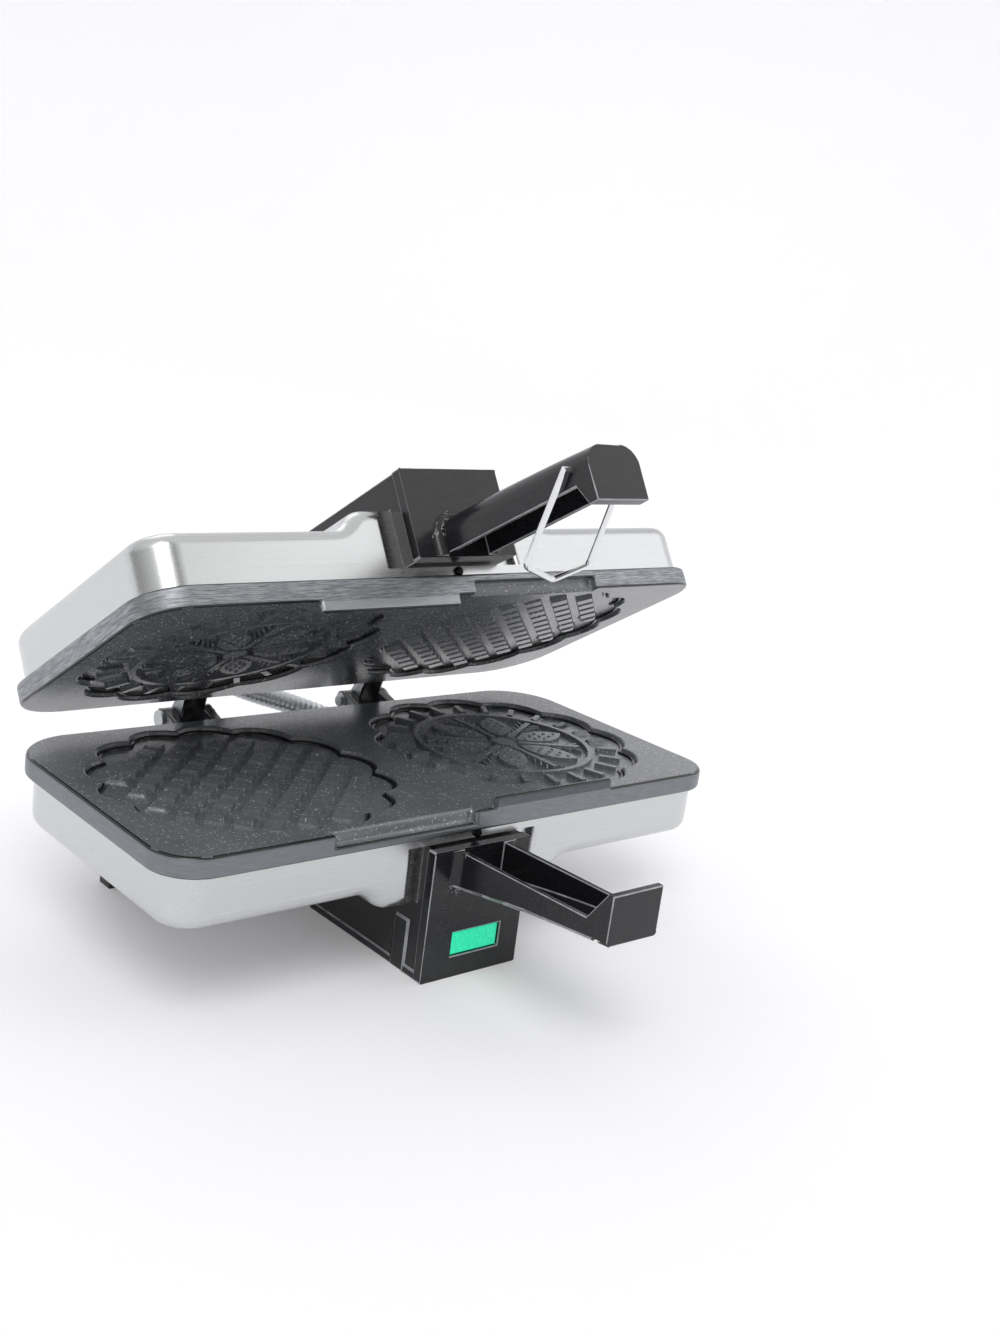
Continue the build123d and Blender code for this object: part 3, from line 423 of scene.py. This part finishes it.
def on_rim(half_frame):
    """Picks the edges round the outside of the plate, down to its ribs."""
    to_half = half_frame.inverted()
    ends, front, rear, ribs = 0.028, 0.004, 0.012, 0.0088

    def picked(edge):
        middle = to_half @ ((edge.verts[0].co + edge.verts[1].co) / 2)
        return (abs(middle.x) > plate_half_width - ends or middle.y < front
                or middle.y > plate_depth - rear) and middle.z < ribs
    return picked


# The lid's band keeps its cutter lines, but its lip and the base's band were polished after.
band_finish = {"lower": ("#7b7e82", "#8b8e92", 0.05), "upper": ("#6b6e72", "#b4b6ba", 0.25)}
# The two lips share one finish: the base's is painted dark as painted shade, the lid's pale as
# painted light.
lip_finish_and_painted_light = {"lower": ("#5b5e62", "#6b6e72", 0.05), "upper": ("#a2a4a8", "#b2b4b8", 0.05)}
# One coat on both plates: its grey is a painted sheen, paler on the base's; the lid's is glossier.
coat_and_painted_sheen = {"lower": ("#585b5f", "#777a7e", 0.9, 0.18, 0.32),
               "upper": ("#484a4d", "#66696c", 0.85, 0.16, 0.3)}
# The rims and mould steps are drawn black: painted shade.
rim_shade_coat = painted_shade_coat("ptfe_coat_painted_shade")
castings = {}
for half, body, half_frame, turn in halves:
    casting = welded_copy(half + "_grid_plate", half + "_baking_plate")
    round_edges(casting, mouth_radius, 3, on_mould_edge(half_frame))
    round_edges(casting, rim_radius, 3, on_rim(half_frame), least=shortest_rim_edge)
    # A line along the foot of the front lips, where their own finish and their painted light and
    # shade begin.
    only(casting)
    bpy.ops.object.mode_set(mode="EDIT")
    bpy.ops.mesh.select_all(action="SELECT")
    bpy.ops.mesh.bisect(plane_co=half_frame @ Vector((0, 0, lip_foot)),
                        plane_no=half_frame.to_3x3() @ Vector((0, 0, 1)))
    bpy.ops.object.mode_set(mode="OBJECT")
    coat = coated_casting(half + "_ptfe_coat_painted_sheen", turn, *coat_and_painted_sheen[half])
    castings[half] = coat
    finish_piece(casting, body, "nonstick_casting", coat,
                 milled_band(half + "_milled_aluminium_band", turn, *band_finish[half]),
                 rim_shade_coat, milled_band(half + "_polished_lip_painted_light", turn, *lip_finish_and_painted_light[half]),
                 stands_for=half + "_grid_plate")
    # The band is every face that looks outwards from the plate's edge, the rim those that lean.
    to_half = half_frame.inverted()
    for face in casting.data.polygons:
        x, y, z = to_half @ face.center
        facing = (to_half.to_3x3() @ face.normal).normalized()
        on_corner = (abs(x) > plate_half_width - corner_reach
                     and abs(facing.x * facing.y) > corner_turn
                     and math.hypot(abs(x) - mould_x, y - mould_y) > mould_lobe + mould_margin)
        outside = (abs(x) > plate_half_width - band_depth or y < band_depth
                   or y > plate_depth - band_depth or on_corner)
        if outside and z < band_back:
            if abs(facing.z) < band_lean:
                face.material_index = 3 if z < lip_foot else 1
            elif abs(facing.z) < rim_lean:
                # Leaning rim faces take the black painted shade.
                face.material_index = 2


# ---------------------------------------------------------------- Mould details
# Cast with the plates: a rounded step inside each scalloped edge, and on the flower moulds the
# dots on each petal and the feathered veins in each gap between two petals.
step_inset, step_radius = 0.0009, 0.0011
petals = 6
petal_top = 0.0008
dot_radius, dot_flatness = 0.00095, 0.55
# Each dot's way out along its petal, and its way aside.
petal_dots = ((0.0135, 0), (0.0180, 0.0020), (0.0180, -0.0020), (0.0225, 0), (0.0225, 0.0038),
              (0.0225, -0.0038), (0.0270, 0.0020), (0.0270, -0.0020), (0.0315, 0))
vein_size, vein_rounding, vein_sink = (0.0046, 0.0011, 0.0018), 0.0003, 0.0008
vein_aside, vein_spread = 0.0012, 0.0018
# Each pair of veins: its way out, its lean from the middle line in degrees, and its stretch.
vein_pairs = ((0.0205, 32, 0.62), (0.0250, 36, 0.9), (0.0295, 40, 1.15), (0.0340, 44, 1.3))


def on_flower(heading, reach, aside, level):
    """A place on the flower, reach out along the heading and aside from it."""
    return Matrix.Translation((-mould_x + reach * math.cos(heading) - aside * math.sin(heading),
                               mould_y + reach * math.sin(heading) + aside * math.cos(heading),
                               level))


for half, body, half_frame, turn in halves:
    for side, mould in ((-1, "flower"), (1, "grid")):
        # The step is drawn black as painted shade.
        step = bead(scallop_line(side, step_inset, mould_floor), step_radius, "step")
        finish_piece(in_place(step, half_frame, f"{half}_{mould}_mould_step"), body,
                     "nonstick_casting", rim_shade_coat, smooth=60)

    bpy.ops.object.select_all(action="DESELECT")
    bpy.ops.mesh.primitive_uv_sphere_add(segments=12, ring_count=8, radius=dot_radius)
    dot = bpy.context.active_object
    dot.scale = (1, 1, dot_flatness)
    bpy.ops.object.transform_apply(scale=True)
    dots = repeated(dot, [on_flower(2 * math.pi * petal / petals, reach, aside, petal_top)
                          for petal in range(petals) for reach, aside in petal_dots])
    finish_piece(in_place(dots, half_frame, half + "_petal_dots"), body, "nonstick_casting",
                 castings[half], smooth=80)

    bpy.ops.object.select_all(action="DESELECT")
    bpy.ops.mesh.primitive_cube_add(size=1)
    vein = bpy.context.active_object
    vein.scale = vein_size
    bpy.ops.object.transform_apply(scale=True)
    bpy.ops.object.mode_set(mode="EDIT")
    bpy.ops.mesh.select_all(action="SELECT")
    bpy.ops.mesh.bevel(offset=vein_rounding, segments=2, affect="EDGES")
    bpy.ops.object.mode_set(mode="OBJECT")
    vein_places = []
    for gap in range(petals):
        heading = 2 * math.pi * (gap + 0.5) / petals
        for reach, lean, stretch in vein_pairs:
            for way in (-1, 1):
                aside = way * (vein_aside + vein_spread * stretch)
                vein_places.append(on_flower(heading, reach, aside, mould_floor - vein_sink)
                                   @ Matrix.Rotation(heading + way * math.radians(lean), 4, "Z")
                                   @ Matrix.Diagonal((stretch, 1, 1, 1)))
    veins = repeated(vein, vein_places)
    finish_piece(in_place(veins, half_frame, half + "_flower_veins"), body, "nonstick_casting",
                 castings[half])


# ---------------------------------------------------------------- Shells
# Two covers pressed from thin stainless steel and brushed to a satin finish. Each slips over
# the ribs on the back of its plate, and is raised in the middle where the handle is mounted.
def satin_steel(name, turn):
    """Stainless steel brushed across its width: a bright satin with hair lines that run along
    the sheet, drawn at half a millimetre to show."""
    material, tree, shader = new_material(name)
    shader.inputs["Metallic"].default_value = 1
    hair = node(tree, "TexNoise", {"Vector": pattern(tree, (9, 1900, 1900), turn), "Scale": 1,
                                   "Detail": 3, "Roughness": 0.6})
    tone = node(tree, "Mix", {"Factor": hair.outputs[0], 6: linear("#c6c7c8"),
                              7: linear("#d0d1d1")}, data_type="RGBA")
    tree.links.new(tone.outputs[2], shader.inputs["Base Color"])
    matt = node(tree, "MapRange", {"Value": hair.outputs[0], "To Min": 0.2, "To Max": 0.32})
    tree.links.new(matt.outputs[0], shader.inputs["Roughness"])
    bump = node(tree, "Bump", {"Height": hair.outputs[0], "Strength": 0.03, "Distance": 0.0002})
    tree.links.new(bump.outputs[0], shader.inputs["Normal"])
    return material


for half, body, half_frame, turn in halves:
    cover = welded_copy(half + "_shell", half + "_steel_cover")
    finish_piece(cover, body, "brushed_shell",
                 satin_steel(half + "_satin_stainless_steel", turn),
                 stands_for=half + "_shell")


# ---------------------------------------------------------------- Handles
# Two black phenolic mouldings, each a face plate with a channel-shaped arm and a spine along
# its shell. They are compression moulded, so they are glossy with a faint grain of the filler.
def painted_edge_highlight():
    """The same moulding with a painted highlight along its sharp corners: a fine pale satin line.
    """
    material, tree, shader = new_material("moulding_edge_painted_highlight")
    glint_noise = node(tree, "TexNoise", {"Vector": pattern(tree, (1, 1, 1)), "Scale": 220, "Detail": 3})
    tone = node(tree, "Mix", {"Factor": glint_noise.outputs[0], 6: linear("#5e6064"),
                              7: linear("#c8cacc")}, data_type="RGBA")
    tree.links.new(tone.outputs[2], shader.inputs["Base Color"])
    shader.inputs["Roughness"].default_value = 0.3
    return material


def phenolic(name, turn):
    """Phenolic resin moulded with wood flour: black, glossy, with streaks of filler about a
    millimetre thick and six long."""
    material, tree, shader = new_material(name)
    streak = node(tree, "TexNoise", {"Vector": pattern(tree, (150, 500, 1000), turn), "Scale": 1,
                                     "Detail": 4, "Roughness": 0.7})
    tone = node(tree, "Mix", {"Factor": streak.outputs[0], 6: linear("#060607"),
                              7: linear("#2b2c2f")}, data_type="RGBA")
    tree.links.new(tone.outputs[2], shader.inputs["Base Color"])
    gloss = node(tree, "MapRange", {"Value": streak.outputs[0], "To Min": 0.14, "To Max": 0.26})
    tree.links.new(gloss.outputs[0], shader.inputs["Roughness"])
    shader.inputs["Specular IOR Level"].default_value = 0.4
    bump = node(tree, "Bump", {"Height": streak.outputs[0], "Strength": 0.16, "Distance": 0.0002})
    tree.links.new(bump.outputs[0], shader.inputs["Normal"])
    return material


edge_highlight_paint = painted_edge_highlight()
moulding_edge, shortest_edge = 0.00042, 0.003
highlight_width, highlight_radius, long_side = 0.00065, 0.0013, 0.6
for half, body, half_frame, turn in halves:
    moulding = welded_copy(half + "_handle", half + "_phenolic_handle")
    round_edges(moulding, moulding_edge, 2, lambda edge: True, least=shortest_edge)
    # The painted highlight goes on the narrow faces that turn within a millimetre or so, which
    # leaves out the facets of the larger moulded fillets.
    shape = bmesh.new()
    shape.from_mesh(moulding.data)
    highlit_faces = []
    for face in shape.faces:
        longest = max(edge.calc_length() for edge in face.edges)
        turns = [edge.calc_face_angle(0) for edge in face.edges
                 if edge.calc_length() > long_side * longest]
        across = face.calc_area() / longest
        if across < highlight_width and across < highlight_radius * max(turns):
            highlit_faces.append(face.index)
    shape.free()
    finish_piece(moulding, body, "black_moulding", phenolic(half + "_phenolic_moulding", turn),
                 edge_highlight_paint, stands_for=half + "_handle")
    for face in highlit_faces:
        moulding.data.polygons[face].material_index = 1


# ---------------------------------------------------------------- Signal lamp
# A green acrylic lens let into the lower face plate, lit from behind by a small glass lamp. The
# glow has a faint mottle about a millimetre across.
def plain_finish(node_names, material):
    """Gives CAD nodes that keep their own shape their finish."""
    for name in node_names:
        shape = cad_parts[name]
        shape.data.materials.clear()
        shape.data.materials.append(material)


lit_lens, tree, shader = new_material("green_acrylic_lens")
cells = node(tree, "TexNoise", {"Vector": pattern(tree, (1, 1, 1)), "Scale": 900, "Detail": 2})
glow = node(tree, "Mix", {"Factor": cells.outputs[0], 6: linear("#0fb483"),
                          7: linear("#2ae6b2")}, data_type="RGBA")
tree.links.new(glow.outputs[2], shader.inputs["Base Color"])
tree.links.new(glow.outputs[2], shader.inputs["Emission Color"])
shader.inputs["Emission Strength"].default_value = 0.55
shader.inputs["Roughness"].default_value = 0.22
plain_finish(["signal_lens"], lit_lens)

lamp_glass, tree, shader = new_material("lamp_glass")
shader.inputs["Base Color"].default_value = linear("#d8ece4")
shader.inputs["Roughness"].default_value = 0.1
shader.inputs["Transmission Weight"].default_value = 0.7
plain_finish(["signal_lamp"], lamp_glass)


# ---------------------------------------------------------------- Wire bail
# Chromed steel wire bent to a loop with a shallow point, sprung into the upper handle.
def turned_steel(name, colour, low, high, scale):
    """Plated or sheathed metal with the faint tarnish that its roughness gives."""
    material, tree, shader = new_material(name)
    shader.inputs["Metallic"].default_value = 1
    haze = node(tree, "TexNoise", {"Vector": pattern(tree, (1, 1, 1)), "Scale": scale,
                                   "Detail": 4})
    tone = node(tree, "Mix", {"Factor": haze.outputs[0], 6: linear(colour[0]),
                              7: linear(colour[1])}, data_type="RGBA")
    tree.links.new(tone.outputs[2], shader.inputs["Base Color"])
    matt = node(tree, "MapRange", {"Value": haze.outputs[0], "To Min": low, "To Max": high})
    tree.links.new(matt.outputs[0], shader.inputs["Roughness"])
    return material


bail = welded_copy("wire_bail", "chromed_wire_bail")
finish_piece(bail, "bail", "chromed_wire",
             turned_steel("chromed_wire", ("#d9dadb", "#e9eaea"), 0.1, 0.2, 300),
             stands_for="wire_bail")


# ---------------------------------------------------------------- Screws
# Slotted cheese heads of zinc-plated steel hold the handles and the stand. A small blackened
# pan head in the middle of each front strip holds the shell's front edge to its plate.
zinc_plate = turned_steel("zinc_plated_steel", ("#9a9da0", "#c2c4c6"), 0.25, 0.4, 400)
screw_slot = (0.010, 0.0009, 0.0024)
first_slot_turn, next_slot_turn = 25, 70


def cut_slot(piece, across, half_frame):
    """Cuts a screwdriver slot across a head whose top is at the given place in its half."""
    bpy.ops.object.select_all(action="DESELECT")
    bpy.ops.mesh.primitive_cube_add(size=1)
    blade = bpy.context.active_object
    blade.scale = screw_slot
    bpy.ops.object.transform_apply(scale=True)
    blade.data.transform(half_frame @ across)
    only(piece)
    cut = piece.modifiers.new("slot", "BOOLEAN")
    cut.object, cut.operation, cut.solver = blade, "DIFFERENCE", "EXACT"
    bpy.ops.object.modifier_apply(modifier=cut.name)
    bpy.data.objects.remove(blade)


for nodes_name, body, half_frame, places in (
        ("lower_handle_screws", "base", lower_frame, ((0, 0.018), (0, 0.062))),
        ("upper_handle_screws", "lid", upper_frame, ((0, 0.018), (0, 0.062))),
        ("rear_stand_screws", "base", lower_frame, ((-0.074, None), (0.074, None)))):
    screws = welded_copy(nodes_name, nodes_name.replace("screws", "slotted_screws"))
    corners = [half_frame.inverted() @ v.co for v in screws.data.vertices]
    top = max(c.z for c in corners)
    middle = (max(c.y for c in corners) + min(c.y for c in corners)) / 2
    for number, (x, y) in enumerate(places):
        cut_slot(screws, Matrix.Translation((x, middle if y is None else y, top))
                 @ Matrix.Rotation(math.radians(first_slot_turn + next_slot_turn * number), 4, "Z"),
                 half_frame)
    finish_piece(screws, body, "plated_steel", zinc_plate, stands_for=nodes_name, smooth=40)

blackened = turned_steel("blackened_steel", ("#1b1b1c", "#333436"), 0.25, 0.4, 400)
front_screw_radius, front_screw_height, front_screw_dome = 0.0019, 0.0015, 0.0009
front_strip_y, front_screw_z = 0.0037, 0.0109
for half, body, half_frame, turn in halves:
    only(None)
    bpy.ops.mesh.primitive_cylinder_add(vertices=28, radius=front_screw_radius,
                                        depth=front_screw_height)
    pan_head = bpy.context.active_object
    bpy.ops.object.mode_set(mode="EDIT")
    bpy.ops.mesh.select_mode(type="EDGE")
    bpy.ops.mesh.select_all(action="DESELECT")
    head = bmesh.from_edit_mesh(pan_head.data)
    for edge in head.edges:
        edge.select_set(all(v.co.z > 0 for v in edge.verts))
    bmesh.update_edit_mesh(pan_head.data)
    bpy.ops.mesh.bevel(offset=front_screw_dome, segments=4, affect="EDGES")
    bpy.ops.object.mode_set(mode="OBJECT")
    pan_head.data.transform(Matrix.Translation((0, front_strip_y - front_screw_height / 2,
                                                front_screw_z))
                            @ Matrix.Rotation(math.radians(90), 4, "X"))
    in_place(pan_head, half_frame, half + "_front_screw")
    finish_piece(pan_head, body, "plated_steel", blackened, smooth=40)


# ---------------------------------------------------------------- Small metal parts
# Hinge pins, clips, bushes and the heating parts inside, each in its own metal.
plain_finish(["left_hinge_pin", "right_hinge_pin", "hinge_pin_clips"], zinc_plate)
plain_finish(["lower_lead_bush", "upper_lead_bush"],
             turned_steel("nickel_plated_brass", ("#a8a49c", "#c4c1ba"), 0.2, 0.36, 400))
plain_finish(["lower_heating_element", "upper_heating_element"],
             turned_steel("heat_tinted_sheath", ("#6d6a66", "#8b857a"), 0.35, 0.55, 200))
plain_finish(["lower_element_clamps", "upper_element_clamps", "thermal_fuse"],
             turned_steel("spring_steel_clamp", ("#8a8c8e", "#a6a8aa"), 0.3, 0.45, 300))
plain_finish(["thermostat"],
             turned_steel("thermostat_body", ("#b9b4a8", "#cfcabf"), 0.4, 0.6, 300))


# ---------------------------------------------------------------- Rear stand
# A black heat-proof moulding screwed under the back of the base, and the inlet bush of the same
# stuff in the rear wall. Both have the fine pitted skin of a sandblasted mould, drawn at two
# millimetres to show.
stand_nylon, tree, shader = new_material("black_nylon_moulding")
peel = node(tree, "TexNoise", {"Vector": pattern(tree, (1, 1, 1)), "Scale": 500, "Detail": 2})
tone = node(tree, "Mix", {"Factor": peel.outputs[0], 6: linear("#111112"),
                          7: linear("#1e1f20")}, data_type="RGBA")
tree.links.new(tone.outputs[2], shader.inputs["Base Color"])
shader.inputs["Roughness"].default_value = 0.35
bump = node(tree, "Bump", {"Height": peel.outputs[0], "Strength": 0.1, "Distance": 0.0003})
tree.links.new(bump.outputs[0], shader.inputs["Normal"])
plain_finish(["rear_stand", "mains_inlet_bush"], stand_nylon)


# ---------------------------------------------------------------- Studio
# A plain pale floor that sweeps up behind into a wall, and soft daylight panels over it. The
# camera and reflections see it nearly white, with the shadow of the maker kept on it.
floor_side, wall_height, sweep_radius = 9, 5, 2.5
floor_lift = 0.1
only(None)
bpy.ops.mesh.primitive_plane_add(size=floor_side, location=(0, 0, 0))
floor = bpy.context.active_object
floor.name = floor.data.name = "studio_floor"
bpy.ops.object.mode_set(mode="EDIT")
bpy.ops.mesh.select_mode(type="EDGE")
bpy.ops.mesh.select_all(action="DESELECT")
sweep = bmesh.from_edit_mesh(floor.data)
for edge in sweep.edges:
    edge.select_set(all(v.co.y > 0 for v in edge.verts) or all(v.co.x > 0 for v in edge.verts))
bmesh.update_edit_mesh(floor.data)
bpy.ops.mesh.extrude_region_move(TRANSFORM_OT_translate={"value": (0, 0, wall_height)})
bpy.ops.mesh.select_all(action="DESELECT")
sweep = bmesh.from_edit_mesh(floor.data)
for edge in sweep.edges:
    edge.select_set(len(edge.link_faces) == 2)
bmesh.update_edit_mesh(floor.data)
bpy.ops.mesh.bevel(offset=sweep_radius, segments=16, affect="EDGES")
bpy.ops.object.mode_set(mode="OBJECT")
bpy.ops.object.shade_smooth()
floor_paint, tree, shader = new_material("matt_white_floor")
shader.inputs["Base Color"].default_value = linear("#f2f2f4")
shader.inputs["Roughness"].default_value = 0.9
shader.inputs["Specular IOR Level"].default_value = 0.1
ray = node(tree, "LightPath")
seen = node(tree, "Math", {0: ray.outputs["Is Camera Ray"], 1: ray.outputs["Is Glossy Ray"]},
            operation="MAXIMUM")
lift = node(tree, "Math", {0: seen.outputs[0], 1: floor_lift}, operation="MULTIPLY")
shader.inputs["Emission Color"].default_value = linear("#ffffff")
tree.links.new(lift.outputs[0], shader.inputs["Emission Strength"])
floor.data.materials.append(floor_paint)

# The daylight is full overhead and falls off towards the horizon, with a dark gap between two
# panels near the front, which shapes the metal.
gap_bearing, gap_core, gap_edge = (math.radians(a) for a in (-78, 5, 13))
gap_strength, horizon_strength, zenith_strength, seen_strength = 0.25, 0.3, 0.85, 0.97
world = bpy.data.worlds.new("daylight")
bpy.context.scene.world = world
world.use_nodes = True
tree = world.node_tree
heading = node(tree, "TexCoord")
height = node(tree, "SeparateXYZ", {"Vector": heading.outputs["Generated"]})
east, north = height.outputs["X"], height.outputs["Y"]
bearing = node(tree, "Math", {0: north, 1: east}, operation="ARCTAN2")
from_gap = node(tree, "Math", {0: bearing.outputs[0], 1: gap_bearing}, operation="SUBTRACT")
off_gap = node(tree, "Math", {0: from_gap.outputs[0]}, operation="ABSOLUTE")
gap = node(tree, "MapRange", {"Value": off_gap.outputs[0], "From Min": gap_core,
                              "From Max": gap_edge, "To Min": gap_strength, "To Max": 1},
           interpolation_type="SMOOTHSTEP")
fall = node(tree, "MapRange", {"Value": height.outputs["Z"], "From Min": -0.05, "From Max": 0.75,
                               "To Min": horizon_strength, "To Max": zenith_strength},
            interpolation_type="SMOOTHSTEP")
ray = node(tree, "LightPath")
shaped = node(tree, "Math", {0: fall.outputs[0], 1: gap.outputs[0]}, operation="MULTIPLY")
strength = node(tree, "Mix", {"Factor": ray.outputs["Is Camera Ray"], "A": shaped.outputs[0],
                              "B": seen_strength})
sky = tree.nodes["Background"]
sky.inputs["Color"].default_value = linear("#ffffff")
tree.links.new(strength.outputs[0], sky.inputs["Strength"])


def aimed(name, kind, place, **settings):
    """Adds a lamp that looks at the maker from its place."""
    panel = bpy.data.lights.new(name, kind)
    for setting, value in settings.items():
        setattr(panel, setting, value)
    lamp = bpy.data.objects.new(name, panel)
    bpy.context.scene.collection.objects.link(lamp)
    lamp.location = place
    lamp.rotation_euler = (Vector((0, 0, 0.1)) - Vector(place)).to_track_quat("-Z", "Y").to_euler()


aimed("key_daylight", "SUN", (-0.75, -0.9, 1.7), angle=math.radians(34), energy=0.95)
aimed("fill_panel", "AREA", (1.4, -0.8, 1.1), size=1.2, energy=3)
aimed("back_panel", "AREA", (0.3, 1.4, 1.5), size=1.0, energy=3)

bpy.context.scene.view_settings.view_transform = "Standard"
